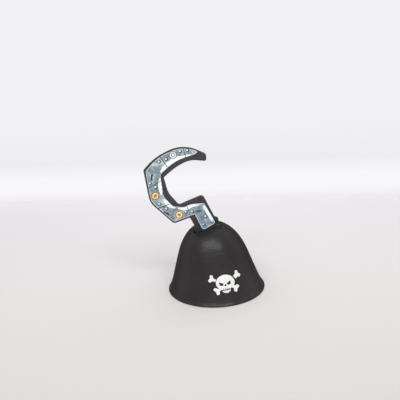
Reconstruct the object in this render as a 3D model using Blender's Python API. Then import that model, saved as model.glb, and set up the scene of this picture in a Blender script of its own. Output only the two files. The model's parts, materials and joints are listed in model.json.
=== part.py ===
"""Toy pirate hook hand: a flat foam hook that rocks in the slotted crown of a foam cup.

Metres, +Z up. The cup stands on its rim at z = 0, the camera side is -Y, and the origin is under
the middle of the whole object. Inside the cup the hook's tang carries a grip bar for the fist.
"""
import bpy
import bmesh
from math import atan, atan2, ceil, cos, exp, pi, radians, sin, tan
from mathutils import Vector

MM = 0.001

# Cup: a flared cone with a round crown, leaning a little to the left
RIM_RADIUS = 60.0 * MM
CUP_HEIGHT = 87.2 * MM
CUP_WALL = 4.0 * MM
CUP_LEAN = tan(radians(3.1))
CONE_RADIUS_AT_FLOOR = 58.2 * MM
CONE_TAPER = 0.322
FLARE_HEIGHT = 4.5 * MM
SHOULDER_HEIGHT = 45.0 * MM
SHOULDER_REACH = 26.5 * MM
CROWN_REACH = 21.0 * MM
RIM_ROUNDING = 1.5 * MM
CUP_SEGMENTS = 64
CONE_STEPS = 6
CROWN_STEPS = 8

# Hook: pivot in the crown, measured from the rim's centre on the floor
PIVOT_X = -8.0 * MM
PIVOT_Y = -10.0 * MM
PIVOT_Z = 84.0 * MM
LEAN_LEFT = radians(25.0)
LEAN_BACK = radians(5.0)
HOOK_THICKNESS = 8.0 * MM
EDGE_CHAMFER = 0.6 * MM

# Hook outline in millimetres from the pivot, with the stem upright
STEM_HALF_WIDTH = 13.0
TANG_HALF_WIDTH = 11.0
BARB_REACH = 15.9
BARB_LOW = 0.3
BARB_HIGH = 3.3
BARB_ROOT = 6.1
ARM_UNDERSIDE = 19.3
ARM_TOP = 36.4
BACK_LEFT = -46.6
BACK_HEIGHT = 57.4
TOP_LEFT = (-34.8, 95.2)
TOP_CREST = (-17.8, 102.1)
TOP_RIGHT = (20.3, 100.9)
TIP_NOSE = (39.6, 77.4)
TIP_POINT = (36.0, 70.0)
THROAT_TOP = 80.6
THROAT_LEFT = -22.4
THROAT_MIDDLE = 57.2
EYE_DEPTH = 52.0
EYE_RADIUS = 4.3

# Printed film on both faces of the hook
FILM_THICKNESS = 0.3 * MM
FILM_OUTER_MARGIN = 1.3
JOINT_GAP = 0.3 * MM

# Slot in the crown, longer than the stem so that the hook can rock, in millimetres from the pivot
SLOT_HALF_LENGTH = 17.2
SLOT_BACK = 5.0
SLOT_END_FRONT = -4.6
SLOT_BOW_FRONT = -10.7
SLOT_BOW_RADIUS = 45.0
SLOT_CORNER = 2.5
SLOT_CUT_REACH = 25.0 * MM

# Grip bar through the tang's eye
ROD_RADIUS = 4.0 * MM
SLEEVE_RADIUS = 8.0 * MM
SLEEVE_FRONT = 10.5 * MM
SLEEVE_REAR = 30.0 * MM
CAP_RADIUS = 7.0 * MM
CAP_LENGTH = 4.0 * MM
CAP_SOCKET = 2.2 * MM
GRIP_SEGMENTS = 28

# Skull and crossed bones printed on the cup, in millimetres from the skull's middle
EMBLEM_ANGLE = radians(13.7)
EMBLEM_HEIGHT = 26.3 * MM
EMBLEM_TILT = radians(3.0)
TRANSFER_THICKNESS = 0.25 * MM
SKULL_HALF_WIDTH = 11.3
SKULL_HALF_HEIGHT = 9.0
SKULL_SIDE_ANGLE = radians(-38.0)
CHEEK_HALF_WIDTH = 6.2
CHEEK_LOW = -8.0
EYE_SOCKET_RADIUS = 2.8
EYE_SOCKET_SPREAD = 4.6
EYE_SOCKET_HEIGHT = -2.1
NOSE_HALF_WIDTH = 1.3
NOSE_TOP = -3.6
NOSE_LOW = -6.0
JAW_HALF_WIDTH = 5.8
JAW_TOP = -8.9
JAW_LOW = -13.6
BONE_HALF_WIDTH = 1.7
BONE_KNOB_RADIUS = 2.9
UPPER_BONE = (radians(24.0), 11.5, 18.8)
LOWER_BONE = (radians(-39.0), 10.9, 15.8)
PATCH_GRID = 3.0

ARC_STEP = radians(15.0)


def clear_scene():
    for item in list(bpy.data.objects):
        bpy.data.objects.remove(item, do_unlink=True)


def make_material(name, colour, roughness, metallic=0.0):
    material = bpy.data.materials.new(name)
    material.use_nodes = True
    shader = material.node_tree.nodes["Principled BSDF"]
    shader.inputs["Base Color"].default_value = (*colour, 1.0)
    shader.inputs["Roughness"].default_value = roughness
    shader.inputs["Metallic"].default_value = metallic
    return material


def make_object(name, bm, material, parent):
    bmesh.ops.recalc_face_normals(bm, faces=bm.faces[:])
    mesh = bpy.data.meshes.new(name)
    bm.to_mesh(mesh)
    bm.free()
    mesh.materials.append(material)
    mesh.shade_smooth()
    mesh.set_sharp_from_angle(angle=radians(35.0))
    item = bpy.data.objects.new(name, mesh)
    bpy.context.collection.objects.link(item)
    item.parent = parent
    return item


def make_empty(name, location, parent=None):
    empty = bpy.data.objects.new(name, None)
    empty.location = location
    empty.parent = parent
    bpy.context.collection.objects.link(empty)
    return empty


def rounded_outline(corners):
    """Closed outline through (x, y, radius) corners, each rounded by an arc of its radius."""
    points = []
    count = len(corners)
    for index in range(count):
        corner = Vector(corners[index][:2])
        radius = corners[index][2]
        to_last = (Vector(corners[index - 1][:2]) - corner).normalized()
        to_next = (Vector(corners[(index + 1) % count][:2]) - corner).normalized()
        if radius == 0.0:
            points.append(corner)
            continue
        half_angle = to_last.angle(to_next) / 2
        centre = corner + (to_last + to_next).normalized() * (radius / sin(half_angle))
        tangent_length = radius / tan(half_angle)
        start = corner + to_last * tangent_length - centre
        turn = pi - 2 * half_angle
        side = 1.0 if to_last.cross(to_next) < 0 else -1.0
        steps = max(1, ceil(turn / ARC_STEP))
        first_angle = atan2(start.y, start.x)
        for step in range(steps + 1):
            angle = first_angle + side * turn * step / steps
            points.append(centre + Vector((cos(angle), sin(angle))) * radius)
    return points


def circle(centre, radius, segments):
    angles = [2 * pi * step / segments for step in range(segments)]
    return [Vector((centre[0] + radius * cos(a), centre[1] + radius * sin(a))) for a in angles]


def flat_solid(loops, low, high, place, grid=None):
    """Plate between the heights low and high with the loops as edges; place maps (a, b, height)."""
    bm = bmesh.new()
    for loop in loops:
        ring = [bm.verts.new((point[0], point[1], 0.0)) for point in loop]
        for index, vert in enumerate(ring):
            bm.edges.new((ring[index - 1], vert))
    bmesh.ops.triangle_fill(bm, edges=bm.edges[:], use_beauty=True)
    if grid:
        reach = max(max(abs(v.co.x), abs(v.co.y)) for v in bm.verts)
        lines = ceil(reach / grid)
        for normal in (Vector((1, 0, 0)), Vector((0, 1, 0))):
            for line in range(-lines, lines + 1):
                geometry = bm.verts[:] + bm.edges[:] + bm.faces[:]
                bmesh.ops.bisect_plane(bm, geom=geometry, dist=0.01, plane_co=normal * line * grid,
                                       plane_no=normal)
    top = bmesh.ops.extrude_face_region(bm, geom=bm.faces[:], use_keep_orig=True)
    raised = {item for item in top["geom"] if isinstance(item, bmesh.types.BMVert)}
    for vert in bm.verts:
        height = high if vert in raised else low
        vert.co = place(vert.co.x, vert.co.y, height)
    return bm


def turned(profile, segments, place, closed=False):
    """Body of revolution from (radius, height) points; place maps (x, y, height)."""
    bm = bmesh.new()
    rings = []
    for radius, height in profile:
        if radius == 0.0:
            rings.append([bm.verts.new(place(0.0, 0.0, height))])
            continue
        angles = [2 * pi * step / segments for step in range(segments)]
        rings.append([bm.verts.new(place(radius * cos(a), radius * sin(a), height)) for a in angles])
    pairs = list(zip(rings, rings[1:]))
    if closed:
        pairs.append((rings[-1], rings[0]))
    for lower, upper in pairs:
        for step in range(segments):
            following = (step + 1) % segments
            if len(lower) == 1:
                bm.faces.new((lower[0], upper[following], upper[step]))
            elif len(upper) == 1:
                bm.faces.new((lower[step], lower[following], upper[0]))
            else:
                bm.faces.new((lower[step], lower[following], upper[following], upper[step]))
    return bm


def cup_radius(height):
    """Outer radius of the flared cone below the shoulder."""
    rim_flare = RIM_RADIUS - CONE_RADIUS_AT_FLOOR + CONE_TAPER * RIM_ROUNDING
    flare = rim_flare * exp((RIM_ROUNDING - height) / FLARE_HEIGHT)
    return CONE_RADIUS_AT_FLOOR - CONE_TAPER * height + flare


def crown_point(share):
    """Point of the crown's curve, from the shoulder (0) to the top (1)."""
    shoulder = Vector((cup_radius(SHOULDER_HEIGHT), SHOULDER_HEIGHT))
    above = shoulder + Vector((-CONE_TAPER, 1.0)) * SHOULDER_REACH
    beside = Vector((CROWN_REACH, CUP_HEIGHT))
    top = Vector((0.0, CUP_HEIGHT))
    rest = 1.0 - share
    return rest**3 * shoulder + 3 * rest**2 * share * above + 3 * rest * share**2 * beside + share**3 * top


def cup_profile():
    """Outer side from the rim up, then the inner side from the top back down to the rim."""
    heights = [RIM_ROUNDING + (SHOULDER_HEIGHT - RIM_ROUNDING) * (step / CONE_STEPS)**1.6
               for step in range(CONE_STEPS)]
    cone = [Vector((cup_radius(height), height)) for height in heights]
    crown = [crown_point(step / CROWN_STEPS) for step in range(CROWN_STEPS + 1)]
    level_wall = CUP_WALL / cos(atan(CONE_TAPER))
    inner = [point - Vector((level_wall, 0.0)) for point in cone]
    for index in range(CROWN_STEPS):
        along = crown[index + 1] - crown[max(index - 1, 0)]
        inward = Vector((-along.y, along.x)).normalized()
        inner.append(crown[index] + inward * CUP_WALL)
    inner.append(Vector((0.0, CUP_HEIGHT - CUP_WALL)))
    rim_step = RIM_ROUNDING * 0.6
    rim = [Vector((inner[0].x + rim_step, 0.0)), Vector((cone[0].x - rim_step, 0.0))]
    return rim + cone + crown, inner


def lean_cup(x, y, height):
    return Vector((x - CUP_LEAN * height, y, height))


def on_cup(across, up, off):
    """Place on the cup's outer side: millimetres across and up from the emblem's middle."""
    turned_across = across * cos(EMBLEM_TILT) - up * sin(EMBLEM_TILT)
    turned_up = across * sin(EMBLEM_TILT) + up * cos(EMBLEM_TILT)
    slope = atan(CONE_TAPER)
    height = EMBLEM_HEIGHT + turned_up * MM * cos(slope)
    angle = EMBLEM_ANGLE + turned_across * MM / cup_radius(EMBLEM_HEIGHT)
    radius = cup_radius(height) + off * cos(slope)
    return lean_cup(radius * sin(angle), -radius * cos(angle), height + off * sin(slope))


def on_hook(across, up, front):
    """Place on the hook: millimetres across and up from the pivot, metres towards the front."""
    return Vector((across * MM, -front, up * MM))


def across_grip(x, y, front):
    """Place on the grip bar, which runs through the tang's eye from back to front."""
    return Vector((x, -front, y - EYE_DEPTH * MM))


def hook_outline():
    stem = STEM_HALF_WIDTH
    tang = TANG_HALF_WIDTH
    tang_end = -EYE_DEPTH - tang
    return rounded_outline([
        (tang, tang_end, tang * 0.99),
        (tang, BARB_LOW, 0.0),
        (BARB_REACH, BARB_LOW, 0.6),
        (BARB_REACH, BARB_HIGH, 0.8),
        (stem, BARB_ROOT, 0.8),
        (stem, ARM_TOP, 4.5),
        (-18.0, ARM_TOP + 2.3, 3.5),
        (THROAT_LEFT, THROAT_MIDDLE, 20.0),
        (-18.2, THROAT_TOP - 4.4, 3.0),
        (1.0, THROAT_TOP, 60.0),
        (19.5, THROAT_TOP, 28.0),
        (*TIP_POINT, 2.5),
        (*TIP_NOSE, 5.0),
        (*TOP_RIGHT, 40.0),
        (*TOP_CREST, 70.0),
        (*TOP_LEFT, 4.0),
        (BACK_LEFT, BACK_HEIGHT, 21.0),
        (-33.4, ARM_UNDERSIDE + 2.3, 5.0),
        (-stem, ARM_UNDERSIDE, 1.5),
        (-stem, BARB_ROOT, 0.8),
        (-BARB_REACH, BARB_HIGH, 0.8),
        (-BARB_REACH, BARB_LOW, 0.6),
        (-tang, BARB_LOW, 0.0),
        (-tang, tang_end, tang * 0.99),
    ])


def film_outline():
    """The print stays close to the hook's outer edge and leaves a bare band along the inner one."""
    margin = FILM_OUTER_MARGIN
    return rounded_outline([
        (11.2, -0.6, 3.0),
        (10.2, 27.2, 3.0),
        (-4.5, 33.4, 8.0),
        (-13.0, 33.6, 8.0),
        (-24.4, 41.0, 3.0),
        (-28.6, 57.0, 12.0),
        (-19.4, 81.2, 3.0),
        (3.0, 87.8, 60.0),
        (27.6, 83.5, 3.0),
        (32.9, 84.2, 1.2),
        (TOP_RIGHT[0] - margin * 0.5, TOP_RIGHT[1] - margin, 38.0),
        (TOP_CREST[0], TOP_CREST[1] - margin, 55.0),
        (-33.0, 92.6, 3.0),
        (BACK_LEFT + margin, BACK_HEIGHT, 20.0),
        (-33.4 + margin * 0.7, ARM_UNDERSIDE + 2.3 + margin, 4.0),
        (-5.9, ARM_UNDERSIDE + margin * 0.6, 1.0),
        (-6.4, -1.6, 3.0),
    ])


def slot_outline():
    """The slot from above: close behind the plate, with a front lip that bows open."""
    return rounded_outline([
        (SLOT_HALF_LENGTH, SLOT_END_FRONT, 1.0),
        (SLOT_HALF_LENGTH, SLOT_BACK, SLOT_CORNER),
        (-SLOT_HALF_LENGTH, SLOT_BACK, SLOT_CORNER),
        (-SLOT_HALF_LENGTH, SLOT_END_FRONT, 1.0),
        (0.0, SLOT_BOW_FRONT, SLOT_BOW_RADIUS),
    ])


def make_cup(parent):
    black_foam = make_material("black_foam_cup", (0.035, 0.033, 0.034), 0.55)
    outer, inner = cup_profile()
    profile = [(point.x, point.y) for point in outer]
    lining = [(point.x, point.y) for point in reversed(inner)]
    bm = turned_shell(profile, lining)
    cup = make_object("cup_shell", bm, black_foam, parent)
    cutter_mesh = flat_solid([slot_outline()], -SLOT_CUT_REACH, SLOT_CUT_REACH,
                             lambda a, b, height: Vector((a * MM, b * MM, height)))
    cutter = make_object("slot_cutter", cutter_mesh, black_foam, parent)
    cutter.location = (PIVOT_X, PIVOT_Y, PIVOT_Z)
    cutter.rotation_euler = (-LEAN_BACK, 0.0, 0.0)
    cutter.hide_render = True
    cutter.display_type = "WIRE"
    cut = cup.modifiers.new("crown_slot", "BOOLEAN")
    cut.operation = "DIFFERENCE"
    cut.object = cutter
    return cup


def turned_shell(profile, lining):
    """Cup body: the outer side up to the top, and the lining from its own top down to the rim."""
    bm = turned(profile, CUP_SEGMENTS, lean_cup)
    inside = turned(lining, CUP_SEGMENTS, lean_cup)
    mesh = bpy.data.meshes.new("cup_lining")
    inside.to_mesh(mesh)
    inside.free()
    bm.from_mesh(mesh)
    bpy.data.meshes.remove(mesh)
    rim_edges = [edge for edge in bm.edges if edge.is_boundary]
    bmesh.ops.bridge_loops(bm, edges=rim_edges)
    return bm


def make_emblem(parent):
    white_ink = make_material("white_transfer", (0.86, 0.86, 0.84), 0.5)
    low = JOINT_GAP
    high = JOINT_GAP + TRANSFER_THICKNESS

    dome_turn = pi - 2 * SKULL_SIDE_ANGLE
    dome_steps = ceil(dome_turn / ARC_STEP)
    angles = [SKULL_SIDE_ANGLE + dome_turn * step / dome_steps for step in range(dome_steps + 1)]
    skull = [Vector((SKULL_HALF_WIDTH * cos(a), SKULL_HALF_HEIGHT * sin(a))) for a in angles]
    skull += [Vector((-CHEEK_HALF_WIDTH, CHEEK_LOW)), Vector((CHEEK_HALF_WIDTH, CHEEK_LOW))]
    sockets = [circle((side * EYE_SOCKET_SPREAD, EYE_SOCKET_HEIGHT), EYE_SOCKET_RADIUS, 14)
               for side in (-1, 1)]
    nose = [(-NOSE_HALF_WIDTH, NOSE_LOW), (NOSE_HALF_WIDTH, NOSE_LOW), (0.0, NOSE_TOP)]
    bm = flat_solid([skull, *sockets, nose], low, high, on_cup, PATCH_GRID)
    make_object("skull_transfer", bm, white_ink, parent)

    jaw = rounded_outline([
        (JAW_HALF_WIDTH, JAW_TOP, 0.8),
        (-JAW_HALF_WIDTH, JAW_TOP, 0.8),
        (-JAW_HALF_WIDTH * 0.75, JAW_LOW, 1.6),
        (JAW_HALF_WIDTH * 0.75, JAW_LOW, 1.6),
    ])
    bm = flat_solid([jaw], low, high, on_cup, PATCH_GRID)
    make_object("jaw_transfer", bm, white_ink, parent)

    for height, bone in (("upper", UPPER_BONE), ("lower", LOWER_BONE)):
        for side, mirror in (("right", 1.0), ("left", -1.0)):
            bm = flat_solid([bone_outline(bone, mirror)], low, high, on_cup, PATCH_GRID)
            make_object(height + "_" + side + "_bone_transfer", bm, white_ink, parent)


def bone_outline(bone, mirror):
    """Bone end beside the skull: a short shaft that opens into two round knobs."""
    direction, inner_end, outer_end = bone
    along = Vector((mirror * cos(direction), sin(direction)))
    aside = Vector((-along.y, along.x))
    knob = BONE_KNOB_RADIUS
    shaft = BONE_HALF_WIDTH
    half = [
        (inner_end, shaft, 0.0),
        (outer_end - 1.6 * knob, shaft, 0.0),
        (outer_end - knob, shaft + knob, knob * 0.6),
        (outer_end + knob, shaft + knob * 0.3, knob * 0.6),
        (outer_end - knob * 0.1, 0.0, 0.0),
    ]
    other_half = [(x, -y, radius) for x, y, radius in reversed(half[:-1])]
    return [along * point.x + aside * point.y for point in rounded_outline(half + other_half)]


def make_hook(parent):
    black_foam = make_material("black_foam_hook", (0.04, 0.038, 0.04), 0.6)
    steel_print = make_material("steel_print_film", (0.46, 0.56, 0.60), 0.4)
    half = HOOK_THICKNESS / 2
    eye = circle((0.0, -EYE_DEPTH), EYE_RADIUS, GRIP_SEGMENTS)
    core = make_object("hook_core", flat_solid([hook_outline(), eye], -half, half, on_hook),
                       black_foam, parent)
    bevel = core.modifiers.new("cut_edges", "BEVEL")
    bevel.width = EDGE_CHAMFER
    bevel.segments = 1
    bevel.limit_method = "ANGLE"
    bevel.angle_limit = radians(60.0)
    film_low = half + JOINT_GAP
    film_high = film_low + FILM_THICKNESS
    front = flat_solid([film_outline()], film_low, film_high, on_hook)
    make_object("front_face_film", front, steel_print, parent)
    back = flat_solid([film_outline()], -film_high, -film_low, on_hook)
    make_object("back_face_film", back, steel_print, parent)


def make_grip(parent):
    pale_wood = make_material("dowel_wood", (0.55, 0.40, 0.24), 0.6)
    grey_foam = make_material("grip_foam", (0.06, 0.06, 0.065), 0.7)
    cap_plastic = make_material("cap_plastic", (0.03, 0.03, 0.03), 0.4)
    face = HOOK_THICKNESS / 2 + JOINT_GAP
    ends = {"front": (1.0, face + SLEEVE_FRONT), "rear": (-1.0, face + SLEEVE_REAR)}

    rod_front = ends["front"][1] + CAP_SOCKET
    rod_rear = ends["rear"][1] + CAP_SOCKET
    rod = [(0.0, -rod_rear), (ROD_RADIUS, -rod_rear), (ROD_RADIUS, rod_front), (0.0, rod_front)]
    make_object("grip_rod", turned(rod, GRIP_SEGMENTS, across_grip), pale_wood, parent)

    bore = ROD_RADIUS + JOINT_GAP
    for end, (side, sleeve_end) in ends.items():
        sleeve = [(bore, side * face), (SLEEVE_RADIUS, side * face),
                  (SLEEVE_RADIUS, side * sleeve_end), (bore, side * sleeve_end)]
        make_object(end + "_grip_sleeve", turned(sleeve, GRIP_SEGMENTS, across_grip, True), grey_foam,
                    parent)
        cap_start = sleeve_end + JOINT_GAP
        socket_end = cap_start + CAP_SOCKET
        cap_end = cap_start + CAP_LENGTH
        cap = [(0.0, side * socket_end), (bore, side * socket_end), (bore, side * cap_start),
               (CAP_RADIUS, side * cap_start), (CAP_RADIUS, side * (cap_end - 1.2 * MM)),
               (CAP_RADIUS - 1.2 * MM, side * cap_end), (0.0, side * cap_end)]
        make_object(end + "_end_cap", turned(cap, GRIP_SEGMENTS, across_grip), cap_plastic, parent)


def rim_centre_x():
    """Distance from the middle of the whole object's width to the rim's centre."""
    left = min(PIVOT_X + (point.x * cos(LEAN_LEFT) - point.y * sin(LEAN_LEFT)) * MM
               for point in hook_outline())
    right = max(point.x for point in cup_profile()[0])
    return -(left + right) / 2


def build():
    clear_scene()
    cup_frame = make_empty("cup_frame", (rim_centre_x(), 0.0, 0.0))
    hook_frame = make_empty("hook_frame", (PIVOT_X, PIVOT_Y, PIVOT_Z), cup_frame)
    hook_frame.rotation_mode = "YXZ"
    hook_frame.rotation_euler = (-LEAN_BACK, -LEAN_LEFT, 0.0)
    make_cup(cup_frame)
    make_emblem(cup_frame)
    make_hook(hook_frame)
    make_grip(hook_frame)


build()
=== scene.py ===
"""Looks of the toy pirate hook hand: moulded foam, printed films, inks, grip, studio and camera."""
import json
from math import atan, atan2, ceil, cos, exp, hypot, pi, radians, sin, tan

import bmesh
import bpy
from mathutils import Matrix, Vector


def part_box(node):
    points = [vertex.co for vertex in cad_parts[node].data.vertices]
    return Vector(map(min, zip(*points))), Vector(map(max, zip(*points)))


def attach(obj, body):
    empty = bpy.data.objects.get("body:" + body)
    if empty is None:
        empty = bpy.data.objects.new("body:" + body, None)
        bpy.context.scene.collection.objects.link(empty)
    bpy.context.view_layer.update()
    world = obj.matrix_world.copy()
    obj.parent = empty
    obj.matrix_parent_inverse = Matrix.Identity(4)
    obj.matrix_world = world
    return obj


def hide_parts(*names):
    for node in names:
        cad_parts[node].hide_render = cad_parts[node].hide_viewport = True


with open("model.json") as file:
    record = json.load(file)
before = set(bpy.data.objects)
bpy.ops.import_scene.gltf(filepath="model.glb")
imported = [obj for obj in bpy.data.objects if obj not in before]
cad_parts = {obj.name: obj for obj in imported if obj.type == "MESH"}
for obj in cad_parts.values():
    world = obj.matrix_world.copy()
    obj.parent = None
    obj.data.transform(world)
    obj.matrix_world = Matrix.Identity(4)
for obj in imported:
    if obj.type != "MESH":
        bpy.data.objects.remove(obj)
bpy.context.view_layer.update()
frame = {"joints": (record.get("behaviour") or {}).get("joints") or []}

MM = 0.001

# Cup, in millimetres
RIM_RADIUS = 60.0
CUP_HEIGHT = 86.0
CUP_WALL = 4.0
CUP_LEAN = tan(radians(3.1))
CONE_RADIUS_AT_FLOOR = 58.2
CONE_TAPER = 0.322
FLARE_HEIGHT = 4.5
SHOULDER_HEIGHT = 45.0
SHOULDER_REACH = 26.5
CROWN_REACH = 21.0
RIM_ROUNDING = 1.5
CUP_SEGMENTS = 192
ROUND_STEPS = 5
CONE_STEPS = 20
CONE_BUNCHING = 1.5
CROWN_STEPS = 36

# Slot in the crown, in millimetres from the pivot
SLOT_HALF_LENGTH = 16.7
SLOT_BACK = 5.0
SLOT_MIDDLE = -1.5
SLOT_END_FRONT = -4.6
SLOT_BOW_FRONT = -10.7
SLOT_BOW_RADIUS = 45.0
SLOT_CORNER = 2.5
SLOT_FRONT_CORNER = 1.0
SLOT_LIP = 0.5

# Hook, in millimetres from the pivot with the stem upright
LEAN_LEFT = radians(25.0)
HOOK_HALF_THICKNESS = 4.0
STEM_HALF_WIDTH = 13.0
TANG_HALF_WIDTH = 11.0
TANG_END_ROUNDING = 10.89
TANG_FLARE = 14.0
TANG_FLARE_NECK = -3.8
TANG_FLARE_TOP = -5.0
TANG_FLARE_LOW = -8.5
TANG_FLARE_END = -13.0
BARB_REACH = 15.9
BARB_LOW = 0.3
BARB_HIGH = 3.3
BARB_ROOT = 6.1
LEFT_BARB_LOW = -5.0
LEFT_BARB_HIGH = 5.2
LEFT_BARB_ROOT = 7.2
ARM_UNDERSIDE = 19.3
ARM_TOP = 36.4
ARM_RISE = 2.3
BACK_FOOT = -33.4
BACK_LEFT = -46.6
BACK_HEIGHT = 57.4
TOP_LEFT = (-34.8, 95.2)
TOP_CREST = (-17.8, 102.1)
TOP_RIGHT = (20.3, 100.9)
TIP_NOSE = (39.6, 77.4)
TIP_POINT = (36.0, 70.0)
THROAT_FOOT = -18.0
THROAT_LEFT = -22.4
THROAT_MIDDLE = 57.2
THROAT_HEAD = (-18.2, 76.2)
THROAT_TOP = 80.6
THROAT_CREST = 1.0
THROAT_RIGHT = 19.5
EYE_DEPTH = 52.0
EDGE_ROUNDING = 0.7

# Printed film and its ink, in millimetres, with the film's face measured from the plate's middle
FILM_OUTER_MARGIN = 1.9
FILM_RIGHT_MARGIN = 0.95
FILM_BACK_MARGIN = 1.33
FILM_ARM_MARGIN = 1.14
FILM_CREST = (-14.2, 100.4)
FILM_TOP_LEFT = (-33.0, 92.6)
FILM_ELBOW = -5.9
FILM_FOOT_LEFT = (-6.4, -1.6)
FILM_EDGE_GAP = 0.15
FILM_EDGE_LINE = 0.55
FILM_FACE = 4.5
FILM_SINK = 0.05
FILM_ROUNDING = 0.12
FILM_ROUND_STEPS = 2
INK_LAYER = 0.03
INK_SINK = 0.02

# Film's edge up the stem and along the throat to the tip, as (across, up, corner radius)
FILM_THROAT_EDGE = [
    (11.2, -0.6, 3.0), (10.2, 27.2, 3.0), (-4.5, 33.4, 8.0), (-13.0, 33.6, 8.0), (-24.4, 41.0, 3.0),
    (-28.6, 57.0, 12.0), (-19.4, 81.2, 3.0), (3.0, 87.8, 60.0), (27.6, 83.5, 3.0), (32.9, 84.2, 1.2),
]

# Riveted-steel print: lights as (across, up, half width), other marks as (across, up), screws with a turn
EDGE_LIGHTS = [
    [(-17.8, 83.4, 0.6), (-11.0, 86.4, 2.2), (-1.0, 88.7, 2.5), (9.0, 88.6, 1.9), (24.0, 85.2, 0.3)],
    [(-21.9, 78.3, 0.4), (-25.2, 72.0, 1.9), (-28.0, 64.8, 1.8), (-30.2, 59.0, 0.5)],
    [(-30.0, 54.0, 0.5), (-29.2, 48.5, 2.2), (-27.6, 43.5, 1.9), (-22.8, 37.6, 0.6)],
    [(-20.0, 35.8, 0.5), (-13.0, 31.6, 1.9), (-5.0, 31.0, 1.7), (4.0, 28.0, 0.5)],
    [(8.4, 25.0, 0.5), (8.5, 17.0, 1.7), (8.8, 8.0, 1.5), (8.6, 2.0, 0.4)],
]
SEAMS = [
    ((-11.2, 21.2), (-9.6, 32.8)),
    ((-42.2, 46.9), (-27.2, 45.4)),
    ((-40.2, 73.6), (-23.2, 74.4)),
    ((-9.4, 99.6), (-7.6, 85.4)),
    ((19.0, 96.4), (17.0, 86.2)),
]
SLITS = [
    ((-31.6, 80.8), (-28.2, 85.4)),
    ((-36.4, 39.4), (-33.4, 34.4)),
    ((-1.6, 22.4), (2.4, 20.6)),
]
RIVETS = [
    (-13.8, 28.0), (-7.0, 24.6), (-37.0, 50.8), (-32.4, 42.0), (-35.0, 77.6), (-31.2, 70.6),
    (-13.2, 95.2), (-4.4, 94.0), (14.4, 94.6), (22.4, 91.6), (-2.4, 4.2), (4.4, 12.0),
]
SCREWS = [((-36.8, 61.6), radians(30.0)), ((-22.6, 28.4), radians(-55.0))]
NUT = (4.8, 94.8)
SEAM_HALF_WIDTH = 0.4
SLIT_HALF_WIDTH = 0.95
RIVET_RADIUS = 2.1
RIVET_HEAD = 1.3
RIVET_GLINT = 0.45
RIVET_SHADE = Vector((-0.3, 0.35))
GLINT_SEGMENTS = 16
SCREW_RADIUS = 4.5
SCREW_HEAD = 3.87
SCREW_BEVEL_OUTER = 3.42
SCREW_BEVEL_INNER = 2.25
SCREW_SLOT_HALF_LENGTH = 1.89
SCREW_SLOT_HALF_WIDTH = 0.6
NUT_RADIUS = 5.0
NUT_SIDES = 6
NUT_FACE = 4.3
NUT_BORE = 2.1
BOLT_RADIUS = 1.5
BAR_END_STEPS = 8
BRUSH_WAVE = 0.22
BRUSH_STEP = 0.9
RIBBON_STEPS = 10

# Skull and crossed bones, in millimetres from the skull's middle
EMBLEM_ANGLE = radians(13.7)
EMBLEM_HEIGHT = 26.3
EMBLEM_TILT = radians(3.0)
EMBLEM_RAISE = 0.3
EMBLEM_SINK = -0.3
EMBLEM_GRID = 1.2
SKULL_HALF_WIDTH = 11.3
SKULL_HALF_HEIGHT = 9.0
SKULL_SIDE_ANGLE = radians(-36.0)
SKULL_STEPS = 44
CHEEK_LINE = -6.4
LEFT_CHEEK = -6.9
RIGHT_CHEEK = 6.3
TEETH_HALF_WIDTH = 5.2
TOOTH_LINE = -8.0
JAW_LINE = -8.9
JAW_END = -12.1
JAW_HALF_WIDTH = 4.8
CHIN_STEPS = 16
FACE_SHIFT = -0.6
TOOTH_GAPS = (-3.0, -1.0, 1.0, 3.0)
TOOTH_GAP_WIDTH = 0.5
TOOTH_DEPTH = 1.3

# Right eye socket and nose, as (across, up, corner radius)
EYE_SOCKET = [(1.7, -1.1, 0.5), (3.1, -3.6, 1.2), (6.6, -2.7, 1.4), (7.2, 1.3, 0.6)]
NOSE = [(-1.7, -4.1, 0.4), (1.7, -4.1, 0.4), (0.0, -1.3, 0.4)]

# Bones as (name, inner end, direction, length, half width of the shaft)
BONES = [
    ("upper_right_bone", Vector((12.5, 3.2)), radians(28.0), 7.0, 2.4),
    ("upper_left_bone", Vector((-11.0, 3.5)), radians(154.0), 6.8, 1.6),
    ("lower_right_bone", Vector((7.3, -5.7)), radians(-42.0), 6.0, 1.8),
    ("lower_left_bone", Vector((-6.8, -6.2)), radians(209.0), 6.0, 1.5),
]

# Knobs of a bone, in millimetres: reach before and past the bone's length, and half widths
BONE_KNOB = 1.85
KNOB_NECK = 1.7 * BONE_KNOB
KNOB_HEEL = 0.9 * BONE_KNOB
KNOB_HEEL_HALF_WIDTH = 2.45 * BONE_KNOB
KNOB_END = 1.2 * BONE_KNOB
KNOB_END_HALF_WIDTH = 2.1 * BONE_KNOB
KNOB_CLEFT = 0.3 * BONE_KNOB

# Grip bar, in millimetres
ROD_RADIUS = 4.0
ROD_IN_CAP = 2.0
ROD_SEGMENTS = 48
SLEEVE_RADIUS = 8.0
SLEEVE_START = 4.3
SLEEVE_FRONT = 14.8
SLEEVE_REAR = 34.3
SLEEVE_SOFTNESS = 1.2
SLEEVE_SEGMENTS = 64
CAP_RADIUS = 7.0
CAP_LENGTH = 4.0
CAP_DOME = 2.0
CAP_CHAMFER = 0.3
CAP_GAP = 0.3
QUARTER_STEPS = 6

# Painted shade where the stem meets the crown: its tone, the crown patch's place from the pivot in metres,
# and the distances where it fades
PAINTED_SHADE_TONE = (20, 19, 20)
PAINTED_SHADE_MIDDLE = Vector((-0.005, -0.007, -0.001))
CUP_SHADE_FULL = 0.007
CUP_SHADE_END = 0.016
STEM_SHADE_FULL = 0.006
STEM_SHADE_END = 0.018

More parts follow.
